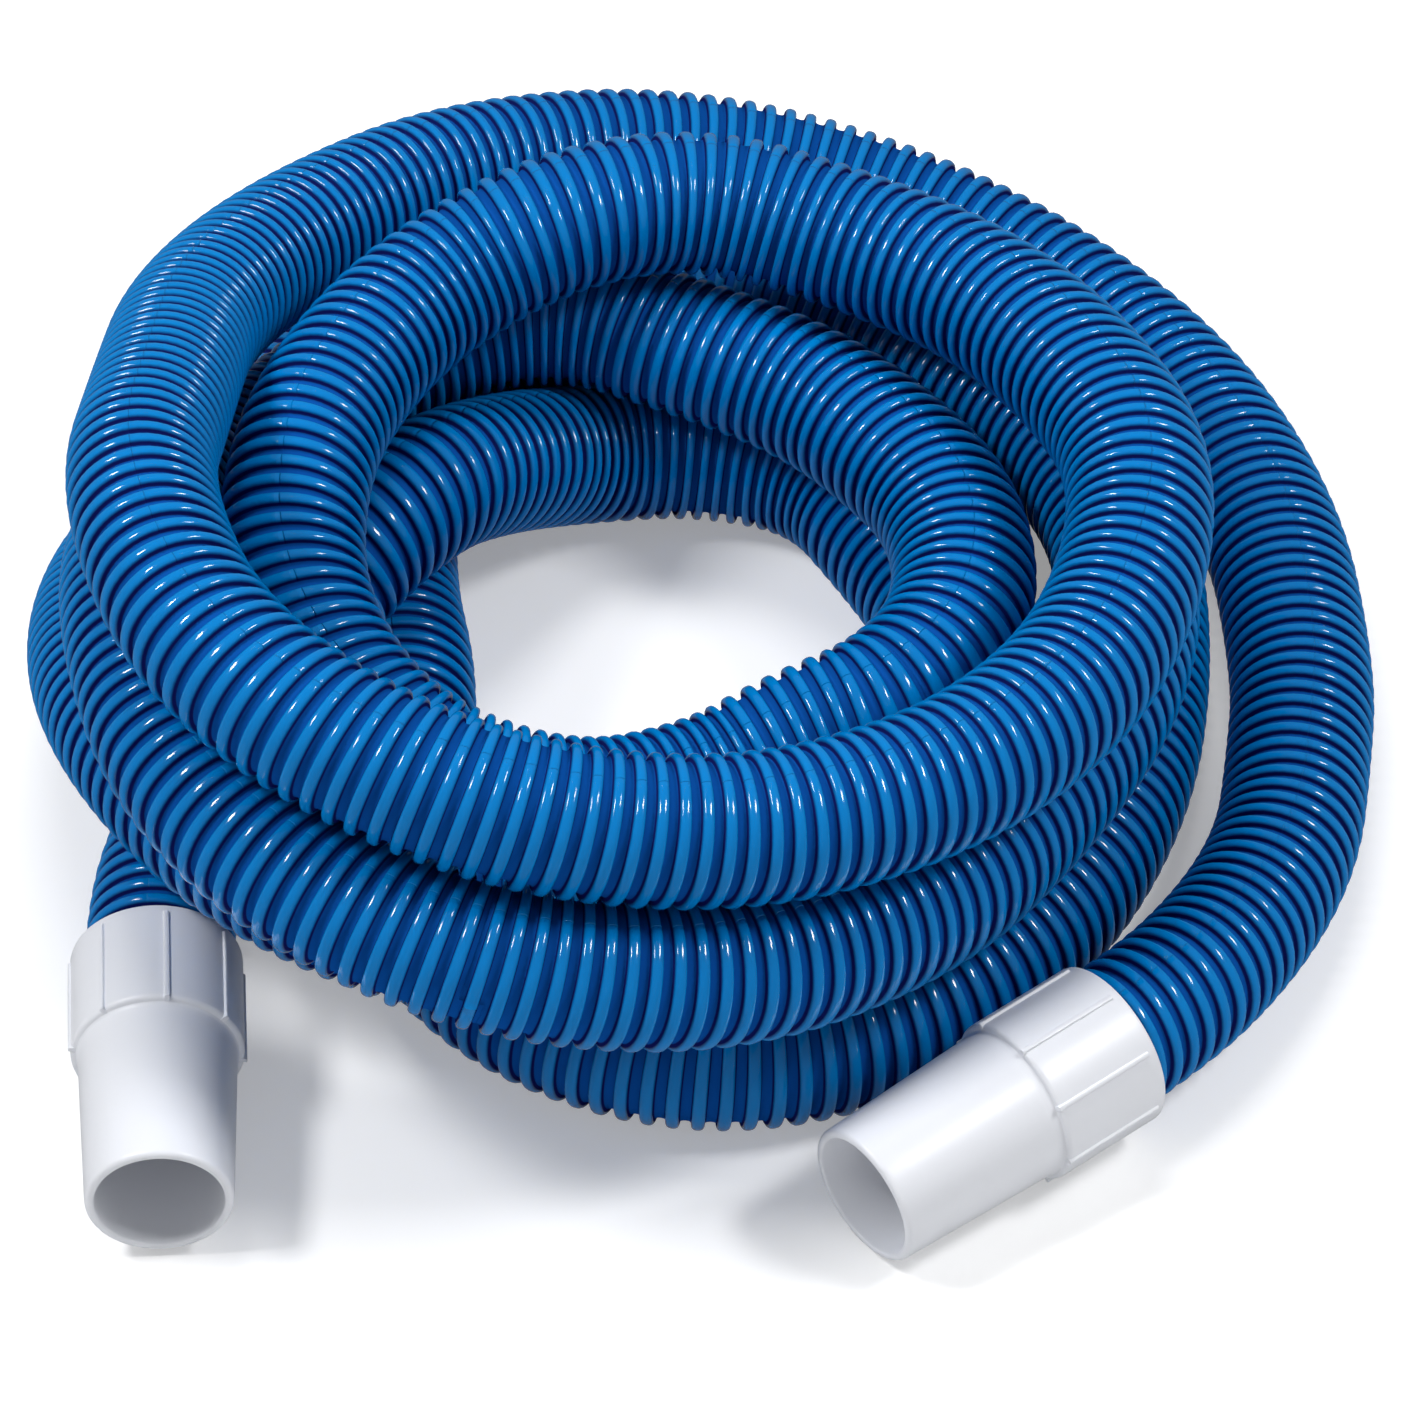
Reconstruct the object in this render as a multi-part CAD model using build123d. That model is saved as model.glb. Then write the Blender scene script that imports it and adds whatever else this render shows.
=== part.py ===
"""Pool vacuum hose, 1 1/2 inch bore, lying in a loose coil with a cuff on each end.

Millimetres, +Z up, the floor at z = 0 and the origin under the middle of the whole thing.
The hose runs from its swivel cuff, round five and a half turns, to its fixed cuff.
"""

from build123d import *
from math import cos, pi, radians, sin, tan
import os

os.makedirs("parts", exist_ok=True)

# Hose: a plain tube with the outer diameter of its ribs
HOSE_RADIUS = 22.5
BORE_RADIUS = 19.05  # 1 1/2 inch bore
FLOOR = HOSE_RADIUS  # centre height of hose that lies on the floor

# Cuff outside: a collar over the hose, a shoulder, and a tapered nose
COLLAR_RADIUS = 25.8
COLLAR_LENGTH = 37.0
SHOULDER_LENGTH = 3.0
SHOULDER_RADIUS = 23.6
MOUTH_RADIUS = 21.8
CUFF_LENGTH = 94.0
SHOULDER_ROUND = 1.6
LIP_ROUND = 1.2
RIB_COUNT = 8
RIB_WIDTH = 1.6
RIB_HEIGHT = 0.8
RIB_START = 3.0
RIB_END = 36.6

# Cuff inside: a socket for the hose and a smooth bore to the mouth
SOCKET_DEPTH = 35.0
HOSE_ENTRY = 34.0  # how far the hose reaches into each cuff

# Swivel: a sleeve glued on the hose, held in the cuff by the cuff's inner lip
SLEEVE_RADIUS = 24.2
SLEEVE_NECK_RADIUS = 23.2
SLEEVE_NECK_LENGTH = 3.2
SWIVEL_GAP = 0.1
SWIVEL_END_GAP = 0.3
LIP_LENGTH = 2.6

# Cuffs in place: the middle of the end that the hose goes into, and the way the mouth points
CUFF_DROOP = 2.5  # degrees nose down, with the collar on the floor
CUFF_HEIGHT = 28.3
FIXED_CUFF_AT = (-163.8, -129.7)
FIXED_CUFF_HEADING = -86.6  # degrees from +X
SWIVEL_CUFF_AT = (119.8, -163.2)
SWIVEL_CUFF_HEADING = -142.0
CUFF_LEAD = 16.0  # how far outside a cuff the hose still runs straight out of it

# Coil: the centre line as (radius, height), one pair each sixteenth of a turn from +X
COIL_CENTRE = (-0.3, 0.5)
STEPS_PER_TURN = 16
TURNS = [
    # outer loop on the floor, then up over the left side
    [(184, FLOOR), (193, FLOOR), (207, 24), (216, 35)],
    [(215, 55), (202, 73), (182, 92), (169, 115)],
    [(160, 140), (178, 162), (196, 161), (191, 144)],
    [(176, 127), (161, 119), (148, 114), (137, 113)],
    # top turn, diving under the one before it at the left
    [(131, 114), (121, 111), (118, 109), (118, 108)],
    [(120, 116), (113, 121), (118, 110), (117, 110)],
    [(122, 111), (132, 98), (131, 80), (108, 60)],
    [(82, 53), (73, 61), (79, 66), (81, 68)],
    # inner turn at the right, middle turn at the left and front
    [(80, 68), (80, 68), (80, 68), (88, 68)],
    [(98, 71), (126, 75), (140, 69), (153, 62)],
    [(166, 91), (182, 117), (207, 116), (209, 101)],
    [(191, 84), (162, 72), (139, 68), (133, 68)],
    # down to the floor behind, and round on the floor
    [(130, 68), (127, 66), (127, 57), (135, 55)],
    [(143, 51), (151, 32), (140, FLOOR), (107, FLOOR)],
    [(91, FLOOR), (99, FLOOR), (128, FLOOR), (152, FLOOR)],
    [(165, FLOOR), (160, FLOOR), (145, FLOOR), (136, FLOOR)],
    # outer turn behind, over the tail at the left, then inside at the front
    [(134, FLOOR), (145, FLOOR), (161, FLOOR), (171, FLOOR)],
    [(180, FLOOR), (201, FLOOR), (184, FLOOR), (183, 23)],
    [(186, 46), (188, 71), (187, 74), (175, 67)],
    [(142, 69), (114, 36), (98, FLOOR), (88, FLOOR)],
    # lowest inner turn, up over the floor turn at the left
    [(82, FLOOR), (80, FLOOR), (84, FLOOR), (101, 24)],
    [(104, 25), (104, 29), (92, 53), (93, 70)],
    [(115, 66)],
]

# Tails: where the hose isn't coiled, between each cuff's lead and the coil
SWIVEL_TAIL = [(160.7, -113.5, 24.5), (177.7, -75.5, FLOOR), (183.2, -37.5, FLOOR)]
FIXED_TAIL = [(-139.3, -29.5, 37), (-157.3, -65, FLOOR)]


def cuff_plane(at, heading):
    """A plane at the hose end of a cuff, with its z axis out of the cuff's mouth."""
    level = cos(radians(CUFF_DROOP))
    out = (level * cos(radians(heading)), level * sin(radians(heading)), -sin(radians(CUFF_DROOP)))
    across = (sin(radians(heading)), -cos(radians(heading)), 0)
    return Plane(origin=(*at, CUFF_HEIGHT), x_dir=across, z_dir=out)


def cuff_points(at):
    """The hose's end inside a cuff, and the end of its straight run out of the cuff."""
    return [at.origin + at.z_dir * HOSE_ENTRY, at.origin - at.z_dir * CUFF_LEAD]


def coil_corners():
    """The route's corners round the coil: each stands outside its arc, so that the arc has the radius."""
    corners = []
    stations = [station for quarter in TURNS for station in quarter]
    for step, (radius, height) in enumerate(stations):
        angle = 2 * pi * step / STEPS_PER_TURN
        corner_radius = radius / cos(pi / STEPS_PER_TURN)
        corners.append(
            Vector(
                COIL_CENTRE[0] + corner_radius * cos(angle),
                COIL_CENTRE[1] + corner_radius * sin(angle),
                height,
            )
        )
    return corners


def arc_radii(route):
    """One radius for each corner: 0.45 of the shorter run over the tangent of half the turn."""
    radii = []
    for before, corner, after in zip(route, route[1:], route[2:]):
        turn = (corner - before).get_angle(after - corner)
        shorter = min((corner - before).length, (after - corner).length)
        radii.append(0.45 * shorter / tan(radians(turn / 2)))
    return radii


def hose_span(route, radii, first, last):
    """A tube along the route between two of its corners: from the middle of the run before the
    first to the middle of the run after the last, or from the route's own ends."""
    points = list(route[first : last + 1])
    if first > 0:
        points.insert(0, (route[first - 1] + route[first]) / 2)
    if last < len(route) - 1:
        points.append((route[last] + route[last + 1]) / 2)
    start = max(first, 1)
    path = FilletPolyline(*points, radius=radii[start - 1 : start + len(points) - 3])
    section = Plane(origin=path @ 0, z_dir=path % 0) * (Circle(HOSE_RADIUS) - Circle(BORE_RADIUS))
    tube = sweep(section, path=path)
    expected = pi * (HOSE_RADIUS**2 - BORE_RADIUS**2) * path.length
    print(f"  length {path.length:.0f} mm, volume {tube.volume / expected:.4f} of section x length")
    return tube, path.length


def cuff_shell(socket_radius, lip_radius):
    """One cuff on the XY plane, its hose end at z = 0 and its mouth up.

    lip_radius is the bore of the inward lip at the hose end, or None for a plain socket."""
    nose_start = COLLAR_LENGTH + SHOULDER_LENGTH
    with BuildPart() as cuff:
        with BuildSketch(Plane.XZ):
            with BuildLine():
                Polyline(
                    (0, 0),
                    (COLLAR_RADIUS, 0),
                    (COLLAR_RADIUS, COLLAR_LENGTH),
                    (SHOULDER_RADIUS, nose_start),
                    (MOUTH_RADIUS, CUFF_LENGTH),
                    (0, CUFF_LENGTH),
                    close=True,
                )
            make_face()
        revolve(axis=Axis.Z)
        circles = cuff.edges().filter_by(GeomType.CIRCLE)
        fillet(circles.filter_by(lambda edge: abs(edge.center().Z - COLLAR_LENGTH) < 0.1), SHOULDER_ROUND)
        with Locations((0, 0, 0)):
            Cylinder(
                BORE_RADIUS, CUFF_LENGTH, align=(Align.CENTER, Align.CENTER, Align.MIN), mode=Mode.SUBTRACT
            )
            socket_start = 0 if lip_radius is None else LIP_LENGTH
        with Locations((0, 0, socket_start)):
            Cylinder(
                socket_radius,
                SOCKET_DEPTH - socket_start,
                align=(Align.CENTER, Align.CENTER, Align.MIN),
                mode=Mode.SUBTRACT,
            )
        if lip_radius is not None:
            Cylinder(
                lip_radius, LIP_LENGTH, align=(Align.CENTER, Align.CENTER, Align.MIN), mode=Mode.SUBTRACT
            )
        lip = cuff.edges().filter_by(lambda edge: abs(edge.center().Z - CUFF_LENGTH) < 0.01)
        fillet(lip, LIP_ROUND)
        rib_length = RIB_END - RIB_START
        rib_depth = 2 * RIB_HEIGHT
        with Locations((0, 0, RIB_START)):
            with PolarLocations(COLLAR_RADIUS + RIB_HEIGHT - rib_depth / 2, RIB_COUNT):
                Box(rib_depth, RIB_WIDTH, rib_length, align=(Align.CENTER, Align.CENTER, Align.MIN))
    return cuff.part


def swivel_sleeve():
    """The sleeve on the hose end that the swivel cuff turns on: a neck under the cuff's lip."""
    length = SOCKET_DEPTH - SWIVEL_END_GAP
    sleeve = Pos(0, 0, SLEEVE_NECK_LENGTH) * Cylinder(
        SLEEVE_RADIUS, length - SLEEVE_NECK_LENGTH, align=(Align.CENTER, Align.CENTER, Align.MIN)
    )
    sleeve += Cylinder(
        SLEEVE_NECK_RADIUS, SLEEVE_NECK_LENGTH, align=(Align.CENTER, Align.CENTER, Align.MIN)
    )
    return sleeve - Cylinder(HOSE_RADIUS, 3 * length)


def save(name, shape, color):
    shape.label = name
    shape.color = Color(*color)
    export_step(shape, f"parts/{name}.step")
    print(name, f"{shape.volume / 1000:.1f} cm3")


BLUE = (0.02, 0.32, 0.66)
WHITE = (0.92, 0.93, 0.96)
GREY = (0.75, 0.76, 0.80)

# Cuffs and sleeve
fixed_at = cuff_plane(FIXED_CUFF_AT, FIXED_CUFF_HEADING)
swivel_at = cuff_plane(SWIVEL_CUFF_AT, SWIVEL_CUFF_HEADING)
save("fixed_cuff", fixed_at.location * cuff_shell(HOSE_RADIUS, None), WHITE)
swivel_bore = SLEEVE_RADIUS + SWIVEL_GAP
save("swivel_cuff", swivel_at.location * cuff_shell(swivel_bore, SLEEVE_NECK_RADIUS + SWIVEL_GAP), WHITE)
save("swivel_sleeve", swivel_at.location * swivel_sleeve(), GREY)

# Hose, from inside the swivel cuff to inside the fixed cuff
coil = coil_corners()
swivel_tail = cuff_points(swivel_at) + [Vector(*point) for point in SWIVEL_TAIL]
fixed_tail = [Vector(*point) for point in FIXED_TAIL] + cuff_points(fixed_at)[::-1]
route = swivel_tail + coil + fixed_tail
radii = arc_radii(route)
print("tightest arcs", sorted((round(radius), corner) for corner, radius in enumerate(radii))[:6])
coil_start = len(swivel_tail)
coil_end = coil_start + len(coil) - 1
total = 0
for name, first, last in [
    ("hose_swivel_tail", 0, coil_start - 1),
    ("hose_coil", coil_start, coil_end),
    ("hose_fixed_tail", coil_end + 1, len(route) - 1),
]:
    tube, length = hose_span(route, radii, first, last)
    total += length
    save(name, tube, BLUE)
print(f"hose length {total:.0f} mm")
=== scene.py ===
"""Pool vacuum hose: a blue ribbed hose in a loose coil, with a white cuff on each end.

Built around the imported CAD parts, in metres, +Z up and the floor at z = 0.
"""

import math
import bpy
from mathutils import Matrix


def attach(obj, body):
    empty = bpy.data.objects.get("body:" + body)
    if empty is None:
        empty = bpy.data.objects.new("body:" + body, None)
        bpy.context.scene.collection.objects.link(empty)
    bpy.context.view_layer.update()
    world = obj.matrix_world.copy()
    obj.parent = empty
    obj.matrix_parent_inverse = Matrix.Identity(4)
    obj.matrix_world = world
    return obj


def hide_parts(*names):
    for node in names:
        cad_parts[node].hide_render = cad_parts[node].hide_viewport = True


bl_info = {
    "name": "Pool Vacuum Hose",
    "version": (1, 0, 0),
    "blender": (4, 5, 0),
    "location": "View3D > Sidebar > Pool Hose",
    "description": "Builds a coiled ribbed pool vacuum hose with a fixed and a swivel cuff",
    "category": "Object",
}

import bpy
import numpy as np
from bpy.props import FloatProperty, FloatVectorProperty, IntProperty, PointerProperty
from mathutils import Vector

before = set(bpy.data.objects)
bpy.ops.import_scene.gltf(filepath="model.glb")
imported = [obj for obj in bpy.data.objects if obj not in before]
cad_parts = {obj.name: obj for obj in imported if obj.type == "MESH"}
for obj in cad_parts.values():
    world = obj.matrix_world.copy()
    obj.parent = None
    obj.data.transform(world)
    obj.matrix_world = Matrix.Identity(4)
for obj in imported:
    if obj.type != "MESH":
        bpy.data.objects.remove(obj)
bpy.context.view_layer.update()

MM = 0.001
FLOOR = 22.5  # centre height of hose that lies on the floor, mm

# The hose's route, in mm: the coil as (radius, height) about its centre, one pair each
# sixteenth of a turn from +X.
COIL_CENTRE = (-0.3, 0.5)
STEPS_PER_TURN = 16
TURNS = [
    [(184, FLOOR), (193, FLOOR), (207, 24), (216, 35)],
    [(215, 55), (202, 73), (182, 92), (169, 115)],
    [(160, 140), (178, 162), (196, 161), (191, 144)],
    [(176, 127), (161, 119), (148, 114), (137, 113)],
    [(131, 114), (121, 111), (118, 109), (118, 108)],
    [(120, 116), (113, 121), (118, 110), (117, 110)],
    [(122, 111), (132, 98), (131, 80), (108, 60)],
    [(82, 53), (73, 61), (79, 66), (81, 68)],
    [(80, 68), (80, 68), (80, 68), (88, 68)],
    [(98, 71), (126, 75), (140, 69), (153, 62)],
    [(166, 91), (182, 117), (207, 116), (209, 101)],
    [(191, 84), (162, 72), (139, 68), (133, 68)],
    [(130, 68), (127, 66), (127, 57), (135, 55)],
    [(143, 51), (151, 32), (140, FLOOR), (107, FLOOR)],
    [(91, FLOOR), (99, FLOOR), (128, FLOOR), (152, FLOOR)],
    [(165, FLOOR), (160, FLOOR), (145, FLOOR), (136, FLOOR)],
    [(134, FLOOR), (145, FLOOR), (161, FLOOR), (171, FLOOR)],
    [(180, FLOOR), (201, FLOOR), (184, FLOOR), (183, 23)],
    [(186, 46), (188, 71), (187, 74), (175, 67)],
    [(142, 69), (114, 36), (98, FLOOR), (88, FLOOR)],
    [(82, FLOOR), (80, FLOOR), (84, FLOOR), (101, 24)],
    [(104, 25), (104, 29), (92, 53), (93, 70)],
    [(115, 66)],
]
# The free ends between the coil and the cuffs, as (x, y, height), mm
SWIVEL_TAIL = [(160.7, -113.5, 24.5), (177.7, -75.5, FLOOR), (183.2, -37.5, FLOOR)]
FIXED_TAIL = [(-139.3, -29.5, 37), (-157.3, -65, FLOOR)]
HOSE_ENTRY = 34.0  # how far the hose goes into a cuff, mm
CUFF_LEAD = 16.0  # its straight run outside a cuff, mm

# Each cuff: the middle of the end that the hose goes into, the way its mouth points, and how
# far round from straight below its first grip rib stands, in mm and degrees
CUFF_DROOP = 2.5
CUFF_HEIGHT = 28.3
GRIP_RIBS = (0.00305, 0.03699)  # the grip ribs' ends, from the rim, m
NOSE_START = 0.0396  # where a cuff's nose begins, from the rim, m
SHARP_ANGLE = 28  # a cuff's edges are sharp from this angle on, degrees
CUFFS = {
    "fixed_cuff": {"at": (-163.8, -129.7), "heading": -86.6, "first_rib": 9.0},
    "swivel_cuff": {"at": (119.8, -163.2), "heading": -142.0, "first_rib": 9.0},
}
# The mould's parting nick on each rib: the direction round the hose (level side, above, 0)
SEAM_DIRECTION = (0.17, 0.9854, 0.0)
NICK_DEPTH = 0.0004  # m
# The hose's inner wall: ring spacing and its gap under the ribs' moulding in metres, faces round
WALL_STEP = 0.0055
WALL_GAP = 0.00002
WALL_AROUND = 32
COIL_NODES = ("hose_coil", "hose_swivel_tail", "hose_fixed_tail")


RIBBED_PIECES = 8  # the hose's ribbed outside is made in this many lengths

CAMERA_TARGET = (-0.0003, -0.0295, 0.040)
FLOOR_GLOW = 0.3  # what the floor adds to its own light, for the camera only
# Each soft light: its name, place, size, power, and whether the hose mirrors it
LIGHTS = [
    ("key_left", (-1.1, -0.25, 1.5), (0.5, 0.3), 17, True),
    ("key_right", (1.1, -0.25, 1.5), (0.5, 0.3), 14, True),
    ("top_back", (-0.1, 0.5, 2.0), (0.9, 0.3), 14, False),
    ("fill_front", (0.0, -2.2, 0.9), (1.6, 0.9), 5, False),
]


# ---------------------------------------------------------------- settings


class HoseSettings(bpy.types.PropertyGroup):
    """Sizes and colours of the ribbed hose."""

    rib_radius: FloatProperty(
        name="Rib radius", description="Outer radius over the ribs", default=0.0225, unit="LENGTH"
    )
    floor_radius: FloatProperty(
        name="Groove radius", description="Radius at the bottom of the grooves",
        default=0.0197, unit="LENGTH",
    )
    liner_radius: FloatProperty(
        name="Liner radius", description="Where the ribs' moulding meets the inner wall",
        default=0.0193, unit="LENGTH",
    )
    bore_radius: FloatProperty(
        name="Bore radius", description="Inner radius of the hose", default=0.01905, unit="LENGTH"
    )
    pitch: FloatProperty(
        name="Rib pitch", description="Distance between two ribs along the hose",
        default=0.0064, unit="LENGTH",
    )
    around: IntProperty(name="Steps around", description="Faces round the hose", default=48, min=12)
    # Lighter than the groove colour: painted light on the tops of the ribs.
    lit_crest_color: FloatVectorProperty(
        name="Crest colour", description="Colour on top of the ribs", subtype="COLOR", size=3,
        default=(0.0, 0.195, 0.55),
    )
    groove_color: FloatVectorProperty(
        name="Groove colour", description="Colour down in the grooves", subtype="COLOR", size=3,
        default=(0.004, 0.080, 0.36),
    )
    # Darkest colour: painted shade in the crease at the foot of each rib.
    foot_shade_color: FloatVectorProperty(
        name="Foot colour", description="Colour at the foot of each rib", subtype="COLOR", size=3,
        default=(0.008, 0.014, 0.12),
    )


class CuffSettings(bpy.types.PropertyGroup):
    """Sizes and colour of the two cuffs."""

    collar_radius: FloatProperty(
        name="Collar radius", description="Radius of the collar over the hose",
        default=0.0258, unit="LENGTH",
    )
    rib_top: FloatProperty(
        name="Grip rib radius", description="Radius over the collar's grip ribs",
        default=0.0266, unit="LENGTH",
    )
    rib_count: IntProperty(name="Grip ribs", description="Number of grip ribs", default=8, min=0)
    length: FloatProperty(name="Length", description="Length of a cuff", default=0.094, unit="LENGTH")
    shoulder_radius: FloatProperty(
        name="Nose root radius", description="Radius of the nose at the shoulder",
        default=0.0236, unit="LENGTH",
    )
    mouth_radius: FloatProperty(
        name="Mouth radius", description="Outer radius at the mouth", default=0.0218, unit="LENGTH"
    )
    bore_radius: FloatProperty(
        name="Bore radius", description="Inner radius of the mouth", default=0.01905, unit="LENGTH"
    )
    color: FloatVectorProperty(
        name="Colour", description="Colour of the moulded plastic", subtype="COLOR", size=3,
        default=(0.82, 0.835, 0.88),
    )


class StageSettings(bpy.types.PropertyGroup):
    """The floor, the light and the camera."""

    elevation: FloatProperty(
        name="Elevation", description="Camera's height above the horizon",
        default=math.radians(43.5), subtype="ANGLE",
    )
    distance: FloatProperty(
        name="Distance", description="Camera to the coil", default=2.3, unit="LENGTH"
    )
    lens: FloatProperty(name="Lens", description="Focal length, mm", default=191.3)
    floor_color: FloatVectorProperty(
        name="Floor colour", description="Colour of the floor", subtype="COLOR", size=3,
        default=(0.9, 0.9, 0.9),
    )


# ---------------------------------------------------------------- the route


def unit(vectors):
    """Each row divided by its length."""
    return vectors / np.linalg.norm(vectors, axis=-1, keepdims=True)


def cuff_axes(name):
    """A cuff's rim point in metres and its axes: across, below, and out of its mouth."""
    heading = math.radians(CUFFS[name]["heading"])
    droop = math.radians(CUFF_DROOP)
    level = math.cos(droop)
    out = np.array([level * math.cos(heading), level * math.sin(heading), -math.sin(droop)])
    across = np.array([math.sin(heading), -math.cos(heading), 0.0])
    rim = np.array([*CUFFS[name]["at"], CUFF_HEIGHT]) * MM
    return rim, across, np.cross(out, across), out


def cuff_points(name):
    """The hose's end inside a cuff, and the end of its straight run out of the cuff."""
    rim, _, _, out = cuff_axes(name)
    return [rim + out * HOSE_ENTRY * MM, rim - out * CUFF_LEAD * MM]


def route_points():
    """The route's corners: each coil corner stands outside its arc by one over the cosine of
    half a step."""
    stations = np.array([station for quarter in TURNS for station in quarter])
    angle = np.arange(len(stations)) * 2 * math.pi / STEPS_PER_TURN
    radius = stations[:, 0] / math.cos(math.pi / STEPS_PER_TURN)
    coil = np.column_stack(
        [
            COIL_CENTRE[0] + radius * np.cos(angle),
            COIL_CENTRE[1] + radius * np.sin(angle),
            stations[:, 1],
        ]
    )
    return np.vstack(
        [
            cuff_points("swivel_cuff"),
            np.array(SWIVEL_TAIL) * MM,
            coil * MM,
            np.array(FIXED_TAIL) * MM,
            cuff_points("fixed_cuff")[::-1],
        ]
    )


def read_spline(points):
    """The points of a NURBS spline of order 3 that has these control points, as Blender makes them."""
    curve = bpy.data.curves.new("route", "CURVE")
    curve.dimensions = "3D"
    curve.resolution_u = 48
    spline = curve.splines.new("NURBS")
    spline.points.add(len(points) - 1)
    spline.points.foreach_set("co", np.column_stack([points, np.ones(len(points))]).ravel())
    spline.order_u = 3
    spline.use_endpoint_u = True
    holder = bpy.data.objects.new("route", curve)
    mesh = bpy.data.meshes.new_from_object(holder)
    line = np.zeros(len(mesh.vertices) * 3)
    mesh.vertices.foreach_get("co", line)
    bpy.data.meshes.remove(mesh)
    bpy.data.objects.remove(holder)
    bpy.data.curves.remove(curve)
    line = line.reshape(-1, 3)
    apart = np.r_[True, np.linalg.norm(np.diff(line, axis=0), axis=1) > 1e-7]
    return line[apart]


class Route:
    """A line with its lengths and directions, looked up at any distance along it.

    The frame at a point is its direction, the level direction to its side, and the one above."""

    def __init__(self, line):
        self.line = line
        self.along = np.r_[0, np.cumsum(np.linalg.norm(np.diff(line, axis=0), axis=1))]
        self.length = self.along[-1]
        self.tangent = unit(np.gradient(line, self.along, axis=0))

    def place(self, distance, angle, radius):
        """The point at that distance, turned by the angle from level, at that radius from the line."""
        at, t = (
            np.stack([np.interp(distance, self.along, values[:, k]) for k in range(3)], -1)
            for values in (self.line, self.tangent)
        )
        t = unit(t)
        side = unit(np.stack([t[..., 1], -t[..., 0], np.zeros_like(t[..., 0])], -1))
        above = np.cross(side, t)
        out = np.cos(angle)[..., None] * side + np.sin(angle)[..., None] * above
        return at + radius[..., None] * out


_route = []


def route():
    """The hose's line, read from its spline once."""
    if not _route:
        _route.append(Route(read_spline(route_points())))
    return _route[0]


# ---------------------------------------------------------------- mesh helpers


def grid_quads(index):
    """The quads of a 2-D array of vertex numbers, turning from the rows to the columns."""
    corners = [index[:-1, :-1], index[1:, :-1], index[1:, 1:], index[:-1, 1:]]
    return np.stack(corners, -1).reshape(-1, 4)


def new_piece(name, points, quads, materials, polygons=(), flat_from=None):
    """A mesh object from points, quads and a few larger polygons. Faces from flat_from on are flat."""
    mesh = bpy.data.meshes.new(name)
    faces = np.asarray(quads, np.int32)
    corner_count = faces.size + sum(len(p) for p in polygons)
    mesh.vertices.add(len(points))
    mesh.vertices.foreach_set("co", np.asarray(points, np.float32).ravel())
    mesh.loops.add(corner_count)
    corners = np.concatenate([faces.ravel(), *[np.asarray(p, np.int32) for p in polygons]])
    mesh.loops.foreach_set("vertex_index", corners.astype(np.int32))
    sizes = np.r_[np.full(len(faces), 4), [len(p) for p in polygons]].astype(np.int32)
    mesh.polygons.add(len(sizes))
    mesh.polygons.foreach_set("loop_start", np.r_[0, np.cumsum(sizes)[:-1]].astype(np.int32))
    smooth = np.ones(len(sizes), bool)
    if flat_from is not None:
        smooth[flat_from:] = False
    mesh.polygons.foreach_set("use_smooth", smooth)
    mesh.update(calc_edges=True)
    mesh.validate()
    for material in materials:
        mesh.materials.append(material)
    piece = bpy.data.objects.new(name, mesh)
    bpy.context.scene.collection.objects.link(piece)
    return piece


def rib_profile(settings):
    """One pitch of the hose's outside from the middle of a groove to the next: the share of the
    pitch, and the height above the groove's floor as a share of a rib's height.

    A wide, slightly dished floor, a steep flank, and a rounded crest."""
    half = np.array([0.0, 0.10, 0.185, 0.215, 0.228, 0.245, 0.29, 0.36, 0.43, 0.5])
    height = np.array([0.0, 0.02, 0.08, 0.20, 0.45, 0.66, 0.84, 0.95, 0.99, 1.0])
    return np.r_[half, 1 - half[-2:0:-1]], np.r_[height, height[-2:0:-1]]


def ribbed_length(name, first_turn, turns, lead, settings, material):
    """A closed length of the hose's ribbed outside, whole turns of one long helical strip.

    The strip follows the helix, so a rib's crest is one line of vertices. Step n is n/around turns
    on, and the strip's far edge at step n is its near edge one turn later."""
    around = settings.around
    share, height = rib_profile(settings)
    last = turns * around
    step = np.arange(last + around + 1)
    angle = step * 2 * math.pi / around
    distance = lead + settings.pitch * (first_turn + step / around)
    rise = settings.rib_radius - settings.floor_radius
    edge = route().place(distance, angle, np.full(len(step), settings.floor_radius))
    inner = route().place(distance, angle, np.full(len(step), settings.liner_radius))
    body_step = step[: last + 1]
    strip = route().place(
        distance[: last + 1, None] + settings.pitch * share[None, 1:],
        np.broadcast_to(angle[: last + 1, None], (last + 1, len(share) - 1)),
        np.broadcast_to(settings.floor_radius + rise * height[None, 1:], (last + 1, len(share) - 1)),
    )
    edge_index = np.arange(len(step))
    inner_index = edge_index + len(step)
    strip_index = 2 * len(step) + np.arange(strip.shape[0] * strip.shape[1]).reshape(strip.shape[:2])
    rows = np.column_stack([edge_index[: last + 1], strip_index, edge_index[around:]])
    outside = grid_quads(rows)
    inside = grid_quads(np.column_stack([inner_index[around:], inner_index[: last + 1]]))
    start = grid_quads(np.column_stack([inner_index[: around + 1], edge_index[: around + 1]]))
    end = grid_quads(np.column_stack([edge_index[last:], inner_index[last:]]))
    steps = [
        [*rows[0][::-1], inner_index[0], inner_index[around]],
        [*rows[-1], inner_index[last + around], inner_index[last]],
    ]
    quads = np.vstack([outside, inside, start, end])[:, ::-1]
    steps = [polygon[::-1] for polygon in steps]
    points = np.vstack([edge, inner, strip.reshape(-1, 3)])
    piece = new_piece(name, points, quads, [material], steps, len(outside) + len(inside))
    ridge = np.r_[np.zeros(2 * len(step)), np.broadcast_to(height[None, 1:], strip.shape[:2]).ravel()]
    turn = np.r_[angle, angle, np.repeat(angle[: last + 1], len(share) - 1)]
    place = np.column_stack([np.cos(turn), np.sin(turn), ridge])
    piece.data.attributes.new("rib_place", "FLOAT_VECTOR", "POINT").data.foreach_set(
        "vector", place.astype(np.float32).ravel()
    )
    return piece


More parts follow.
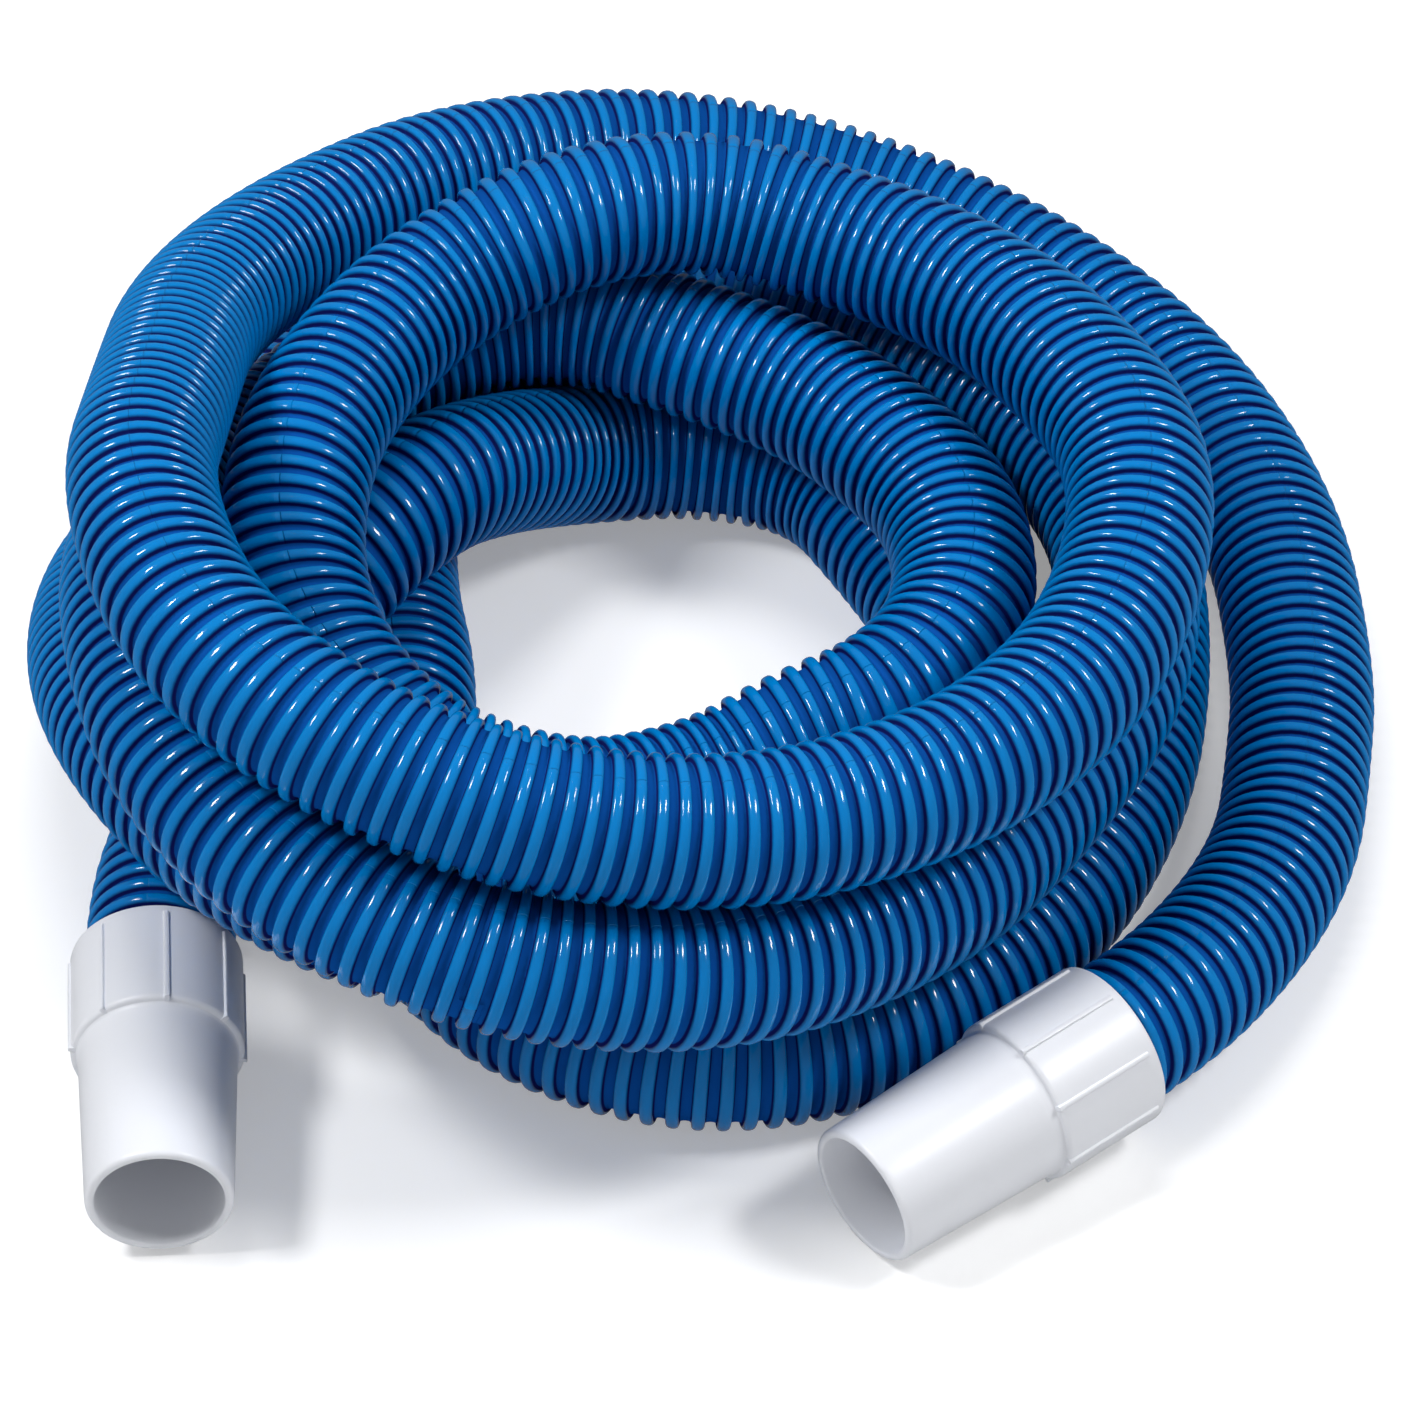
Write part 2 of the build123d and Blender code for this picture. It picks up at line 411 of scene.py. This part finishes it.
def tube_wall(name, settings, material):
    """The hose's inner wall: rings of the liner and bore radii along the whole line, joined at
    both ends. Its outside stands just under the ribs' moulding."""
    rings = int(route().length / WALL_STEP)
    around = WALL_AROUND
    distance = np.linspace(0, route().length, rings)
    angle = np.arange(around) * 2 * math.pi / around
    radii = (settings.liner_radius - WALL_GAP, settings.bore_radius)
    distances = np.repeat(distance[:, None], around, 1)
    angles = np.repeat(angle[None], rings, 0)
    walls = [route().place(distances, angles, np.full((rings, around), radius)) for radius in radii]
    index = np.arange(rings * around).reshape(rings, around)
    outer = np.column_stack([index, index[:, 0]])
    inner = outer + rings * around
    ends = [grid_quads(np.stack([inner[0], outer[0]])), grid_quads(np.stack([outer[-1], inner[-1]]))]
    quads = np.vstack([grid_quads(outer), grid_quads(inner)[:, ::-1], *ends])
    piece = new_piece(name, np.vstack([wall.reshape(-1, 3) for wall in walls]), quads, [material])
    path = np.stack([np.interp(distance, route().along, route().line[:, k]) for k in range(3)], 1)
    return piece, path


def arc(centre, radius, start, stop, count):
    """Points (distance, radius) on an arc, angles in degrees from the axis direction."""
    angle = np.radians(np.linspace(start, stop, count))
    return np.column_stack([centre[0] + radius * np.cos(angle), centre[1] + radius * np.sin(angle)])


def cuff_profile(settings, swivel):
    """A cuff's cross-section as (distance from the rim, radius), from the hole at the rim over the
    outside to the mouth and back through the bore, with how far a grip rib stands there, 0 or 1."""
    r, nose, mouth = settings.collar_radius, settings.shoulder_radius, settings.mouth_radius
    bore, length = settings.bore_radius, settings.length
    socket = 0.0243 if swivel else 0.0225
    lip = 0.0233 if swivel else 0.0225
    taper = (nose - mouth) / (length - NOSE_START)
    outside = np.vstack(
        [
            [(0.0, r - 0.0007)],
            arc((0.0007, r - 0.0007), 0.0007, 150, 90, 3),
            [(0.0029, r), (0.0031, r), (0.0034, r), (0.012, r), (0.024, r), (0.034, r), (0.0354, r)],
            arc((0.0354, r - 0.0016), 0.0016, 75, 15, 5),
            [(0.0371, nose + 0.0006), (0.0375, nose + 0.00028), (0.0381, nose + 0.0001)],
            [(NOSE_START, nose)],
            [(z, nose - taper * (z - NOSE_START)) for z in np.linspace(0.046, length - 0.0022, 8)],
            arc((length - 0.0017, mouth - 0.0017 + 0.00003), 0.0017, 80, 0, 6),
            arc((length - 0.0009, bore + 0.0009), 0.0009, 0, -90, 5),
        ]
    )
    inside = np.array(
        [
            (0.080, bore),
            (0.0355, bore),
            (0.035, bore),
            (0.035, socket),
            (0.0345, socket),
            (0.0035, socket),
            (0.0026, socket),
            (0.0026, lip),
            (0.0004, lip),
            (0.0, lip + 0.0004),
        ]
    )
    ribbed = (outside[:, 0] > GRIP_RIBS[0]) & (outside[:, 0] < GRIP_RIBS[1])
    return np.vstack([outside, inside]), np.r_[ribbed, np.zeros(len(inside))]


def grip_steps(settings):
    """The angles round a cuff, close together at the grip ribs, and how much of a rib is at each."""
    half = np.array([0.0, 0.45, 0.68, 0.80, 0.90, 1.3]) * MM / settings.collar_radius
    share = np.array([1.0, 1.0, 0.85, 0.35, 0.0, 0.0])
    spacing = 2 * math.pi / settings.rib_count
    between = np.linspace(half[-1], spacing - half[-1], 11)[1:-1]
    one = np.r_[half, between, spacing - half[:0:-1]]
    weight = np.r_[share, np.zeros(len(between)), share[:0:-1]]
    turns = np.arange(settings.rib_count) * spacing
    return (turns[:, None] + one[None]).ravel(), np.tile(weight, settings.rib_count)


def cuff_piece(name, settings, material):
    """One cuff: its profile turned about its axis, with the grip ribs as places of greater radius."""
    profile, rib = cuff_profile(settings, name == "swivel_cuff")
    angle, weight = grip_steps(settings)
    angle = angle + math.radians(CUFFS[name]["first_rib"])
    amount = rib[:, None] * weight[None]
    radius = profile[:, 1:] * (1 - amount) + settings.rib_top * amount
    rim, across, below, out = cuff_axes(name)
    points = (
        rim
        + profile[:, None, :1] * out
        + (radius * np.sin(angle))[..., None] * across
        + (radius * np.cos(angle))[..., None] * below
    )
    index = np.arange(len(profile) * len(angle)).reshape(len(profile), len(angle))
    index = np.vstack([index, index[:1]])
    quads = grid_quads(np.column_stack([index, index[:, 0]]))
    piece = new_piece(f"{name}_shell", points.reshape(-1, 3), quads, [material])
    piece.data.set_sharp_from_angle(angle=math.radians(SHARP_ANGLE))
    return piece


# ---------------------------------------------------------------- materials


def node_group(name, inputs, outputs):
    """A new shader node group with named sockets, and its input and output nodes."""
    group = bpy.data.node_groups.new(name, "ShaderNodeTree")
    for label, kind, default in inputs:
        socket = group.interface.new_socket(label, in_out="INPUT", socket_type=f"NodeSocket{kind}")
        if default is not None:
            socket.default_value = default
    for label, kind in outputs:
        group.interface.new_socket(label, in_out="OUTPUT", socket_type=f"NodeSocket{kind}")
    return group, group.nodes.new("NodeGroupInput"), group.nodes.new("NodeGroupOutput")


def add_node(tree, kind, links=(), **values):
    """A node with its properties and plain input values set, and its inputs linked."""
    node = tree.nodes.new(f"ShaderNode{kind}")
    for key, value in values.items():
        setattr(node, key, value)
    for socket, source in dict(links).items():
        if isinstance(source, bpy.types.NodeSocket):
            tree.links.new(source, node.inputs[socket])
        else:
            node.inputs[socket].default_value = source
    return node


def moulding_group():
    """Moulded plastic: cloudy colour, patchy roughness and a faint orange-peel surface, from
    Object coordinates."""
    found = bpy.data.node_groups.get("Moulded Plastic")
    if found:
        return found
    group, given, made = node_group(
        "Moulded Plastic",
        [
            ("Color", "Color", (0.5, 0.5, 0.5, 1)),
            ("Cloudiness", "Float", 0.1),
            ("Cloud Scale", "Float", 30.0),
            ("Roughness", "Float", 0.3),
            ("Roughness Spread", "Float", 0.1),
            ("Peel Scale", "Float", 600.0),
            ("Peel Depth", "Float", 0.0001),
        ],
        [("Color", "Color"), ("Roughness", "Float"), ("Normal", "Vector")],
    )
    place = add_node(group, "TexCoord").outputs["Object"]
    cloud = add_node(
        group, "TexNoise", {"Vector": place, "Scale": given.outputs["Cloud Scale"], "Detail": 3.0}
    )
    centred = add_node(
        group, "Math", {0: cloud.outputs["Fac"], 1: 0.5}, operation="SUBTRACT"
    ).outputs[0]
    strength = add_node(
        group, "Math", {0: centred, 1: given.outputs["Cloudiness"]}, operation="MULTIPLY"
    ).outputs[0]
    value = add_node(group, "Math", {0: strength, 1: 1.0}, operation="ADD").outputs[0]
    shaded = add_node(
        group, "VectorMath", {0: given.outputs["Color"], "Scale": value}, operation="SCALE"
    )
    group.links.new(shaded.outputs[0], made.inputs["Color"])
    patch = add_node(group, "TexNoise", {"Vector": place, "Scale": 90.0, "Detail": 2.0}).outputs["Fac"]
    patch = add_node(group, "Math", {0: patch, 1: 0.5}, operation="SUBTRACT").outputs[0]
    rough = add_node(
        group,
        "Math",
        {0: patch, 1: given.outputs["Roughness Spread"], 2: given.outputs["Roughness"]},
        operation="MULTIPLY_ADD",
    )
    group.links.new(rough.outputs[0], made.inputs["Roughness"])
    peel = add_node(
        group, "TexNoise", {"Vector": place, "Scale": given.outputs["Peel Scale"], "Detail": 1.0}
    )
    bump = add_node(
        group, "Bump", {"Height": peel.outputs["Fac"], "Distance": given.outputs["Peel Depth"]}
    )
    group.links.new(bump.outputs["Normal"], made.inputs["Normal"])
    return group


def new_material(name, **shader):
    """A material with a Principled BSDF whose named sockets are set."""
    material = bpy.data.materials.new(name)
    material.use_nodes = True
    tree = material.node_tree
    bsdf = tree.nodes["Principled BSDF"]
    for socket, value in shader.items():
        bsdf.inputs[socket.replace("_", " ")].default_value = value
    return material, tree, bsdf


def connect_moulding(tree, bsdf, color, **values):
    """Places the moulding group between a colour and the shader."""
    group = tree.nodes.new("ShaderNodeGroup")
    group.node_tree = moulding_group()
    if isinstance(color, bpy.types.NodeSocket):
        tree.links.new(color, group.inputs["Color"])
    else:
        group.inputs["Color"].default_value = (*color, 1)
    for socket, value in values.items():
        group.inputs[socket.replace("_", " ")].default_value = value
    tree.links.new(group.outputs["Color"], bsdf.inputs["Base Color"])
    tree.links.new(group.outputs["Roughness"], bsdf.inputs["Roughness"])
    tree.links.new(group.outputs["Normal"], bsdf.inputs["Normal"])
    return group


def hose_material(settings):
    """Glossy blue EVA: a lighter colour on the ribs' crests as painted light, the darkest colour at
    their feet as painted shade, dull in the grooves, with the mould's parting nick on each rib."""
    found = bpy.data.materials.get("Blue Ribbed Hose")
    if found:
        return found
    material, tree, bsdf = new_material("Blue Ribbed Hose", IOR=1.5)
    place = add_node(tree, "Attribute", attribute_name="rib_place").outputs["Vector"]
    parts = add_node(tree, "SeparateXYZ", {"Vector": place})
    # Colour by height up each rib: painted light on the crests and painted shade at the feet, over the
    # groove colour.
    color = add_node(tree, "ValToRGB", {"Fac": parts.outputs["Z"]})
    light_and_shade_stops = [
        (0.0, settings.groove_color),
        (0.08, settings.groove_color),
        (0.17, settings.foot_shade_color),
        (0.50, settings.foot_shade_color),
        (0.82, settings.lit_crest_color),
    ]
    while len(color.color_ramp.elements) < len(light_and_shade_stops):
        color.color_ramp.elements.new(1.0)
    for element, (height, tint) in zip(color.color_ramp.elements, light_and_shade_stops):
        element.position = height
        element.color = (*tint, 1)
    seam = add_node(
        tree, "VectorMath", {0: place, 1: SEAM_DIRECTION}, operation="DOT_PRODUCT"
    ).outputs["Value"]
    nick = add_node(tree, "MapRange", {"Value": seam, "From Min": 0.9975, "From Max": 0.9993})
    mask = add_node(
        tree, "Math", {0: nick.outputs["Result"], 1: parts.outputs["Z"]}, operation="MULTIPLY"
    ).outputs[0]
    shine = add_node(
        tree,
        "MapRange",
        {"Value": parts.outputs["Z"], "From Min": 0.5, "From Max": 0.9, "To Min": 0.0, "To Max": 0.55},
    )
    tree.links.new(shine.outputs["Result"], bsdf.inputs["Specular IOR Level"])
    group = connect_moulding(
        tree,
        bsdf,
        color.outputs["Color"],
        Cloudiness=0.12,
        Cloud_Scale=22.0,
        Roughness=0.11,
        Roughness_Spread=0.06,
        Peel_Scale=420.0,
        Peel_Depth=0.00004,
    )
    bump = add_node(
        tree,
        "Bump",
        {"Height": mask, "Distance": NICK_DEPTH, "Normal": group.outputs["Normal"]},
        invert=True,
    )
    tree.links.new(bump.outputs["Normal"], bsdf.inputs["Normal"])
    return material


def wall_material(settings):
    """The hose's inside: the same blue, duller."""
    found = bpy.data.materials.get("Hose Inner Wall")
    if found:
        return found
    material, tree, bsdf = new_material("Hose Inner Wall", IOR=1.5)
    connect_moulding(tree, bsdf, tuple(settings.groove_color), Roughness=0.5, Cloudiness=0.15)
    return material


def cuff_material(settings):
    """Satin white moulded plastic."""
    found = bpy.data.materials.get("White Moulded Cuff")
    if found:
        return found
    material, tree, bsdf = new_material("White Moulded Cuff", IOR=1.5)
    connect_moulding(
        tree,
        bsdf,
        tuple(settings.color),
        Cloudiness=0.03,
        Cloud_Scale=12.0,
        Roughness=0.34,
        Roughness_Spread=0.08,
        Peel_Scale=260.0,
        Peel_Depth=0.00003,
    )
    return material


def sleeve_material():
    """Plain grey moulded plastic."""
    found = bpy.data.materials.get("Grey Sleeve")
    if found:
        return found
    material, tree, bsdf = new_material("Grey Sleeve", IOR=1.5)
    connect_moulding(tree, bsdf, (0.55, 0.56, 0.6), Roughness=0.45, Cloudiness=0.05)
    return material


# ---------------------------------------------------------------- operators


class POOLHOSE_OT_stage(bpy.types.Operator):
    """Add the floor, the soft lights and the camera"""

    bl_idname = "poolhose.stage"
    bl_label = "Stage"

    def execute(self, context):
        scene = context.scene
        settings = scene.pool_stage
        scene.view_settings.view_transform = "Standard"
        back = Vector((0, -math.cos(settings.elevation), math.sin(settings.elevation)))
        data = bpy.data.cameras.new("camera")
        data.lens = settings.lens
        data.sensor_width = 36
        data.clip_start, data.clip_end = 0.05, 50
        camera = bpy.data.objects.new("camera", data)
        camera.location = Vector(CAMERA_TARGET) + back * settings.distance
        camera.rotation_euler = (math.pi / 2 - settings.elevation, 0, 0)
        scene.collection.objects.link(camera)
        scene.camera = camera

        world = bpy.data.worlds.new("studio")
        scene.world = world
        world.use_nodes = True
        background = world.node_tree.nodes["Background"]
        background.inputs["Color"].default_value = (0.95, 0.97, 1.0, 1)
        background.inputs["Strength"].default_value = 0.17

        for name, place, size, power, mirrored in LIGHTS:
            light = bpy.data.lights.new(name, "AREA")
            light.shape = "RECTANGLE"
            light.size, light.size_y = size
            light.energy = power
            lamp = bpy.data.objects.new(name, light)
            lamp.location = place
            lamp.visible_glossy = mirrored
            lamp.rotation_mode = "QUATERNION"
            lamp.rotation_quaternion = (Vector((0, 0, 0.05)) - Vector(place)).to_track_quat("-Z", "Y")
            scene.collection.objects.link(lamp)

        floor = new_piece(
            "floor", [(-6, -6, 0), (6, -6, 0), (6, 6, 0), (-6, 6, 0)], np.array([[0, 1, 2, 3]]), []
        )
        material, tree, bsdf = new_material("Pale Floor", Roughness=0.6)
        bsdf.inputs["Base Color"].default_value = (*settings.floor_color, 1)
        seen = add_node(tree, "LightPath").outputs["Is Camera Ray"]
        glow = add_node(tree, "Math", {0: seen, 1: FLOOR_GLOW}, operation="MULTIPLY").outputs[0]
        bsdf.inputs["Emission Color"].default_value = (1, 1, 1, 1)
        tree.links.new(glow, bsdf.inputs["Emission Strength"])
        floor.data.materials.append(material)
        floor.visible_glossy = False
        return {"FINISHED"}


class POOLHOSE_OT_hose(bpy.types.Operator):
    """Add the hose: its inner wall, and the lengths of its ribbed outside"""

    bl_idname = "poolhose.hose"
    bl_label = "Ribbed Hose"

    def execute(self, context):
        settings = context.scene.pool_hose
        material = hose_material(settings)
        wall, path = tube_wall("hose_wall", settings, wall_material(settings))
        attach(wall, "hose")
        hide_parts(*COIL_NODES)
        turns = int(route().length / settings.pitch) - 1
        lead = (route().length - (turns + 1) * settings.pitch) / 2
        starts = np.linspace(0, turns, RIBBED_PIECES + 1).round().astype(int)
        for number, (first, last) in enumerate(zip(starts, starts[1:])):
            piece = ribbed_length(
                f"hose_ribs_{number + 1}", int(first), int(last - first), lead, settings, material
            )
            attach(piece, "hose")
        return {"FINISHED"}


class POOLHOSE_OT_cuffs(bpy.types.Operator):
    """Add the two cuffs and finish the sleeve that the swivel cuff turns on"""

    bl_idname = "poolhose.cuffs"
    bl_label = "Cuffs"

    def execute(self, context):
        settings = context.scene.pool_cuffs
        for name, body in (("fixed_cuff", "hose"), ("swivel_cuff", "swivel_cuff")):
            piece = cuff_piece(name, settings, cuff_material(settings))
            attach(piece, body)
            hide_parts(name)
        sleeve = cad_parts["swivel_sleeve"]
        sleeve.data.materials.clear()
        sleeve.data.materials.append(sleeve_material())
        return {"FINISHED"}


class POOLHOSE_PT_panel(bpy.types.Panel):
    """The hose's pieces, in the order in which they are made"""

    bl_idname = "POOLHOSE_PT_panel"
    bl_label = "Pool Vacuum Hose"
    bl_space_type = "VIEW_3D"
    bl_region_type = "UI"
    bl_category = "Pool Hose"

    def draw(self, context):
        for operator in OPERATORS:
            self.layout.operator(operator.bl_idname)


OPERATORS = (POOLHOSE_OT_stage, POOLHOSE_OT_cuffs, POOLHOSE_OT_hose)
SETTINGS = {"pool_hose": HoseSettings, "pool_cuffs": CuffSettings, "pool_stage": StageSettings}
CLASSES = (*SETTINGS.values(), *OPERATORS, POOLHOSE_PT_panel)


def register():
    for cls in CLASSES:
        bpy.utils.register_class(cls)
    for name, group in SETTINGS.items():
        setattr(bpy.types.Scene, name, PointerProperty(type=group))


def unregister():
    for name in SETTINGS:
        delattr(bpy.types.Scene, name)
    for cls in reversed(CLASSES):
        bpy.utils.unregister_class(cls)


def main():
    register()
    for operator in OPERATORS:
        module, name = operator.bl_idname.split(".")
        getattr(getattr(bpy.ops, module), name)()


if __name__ == "__main__":
    main()
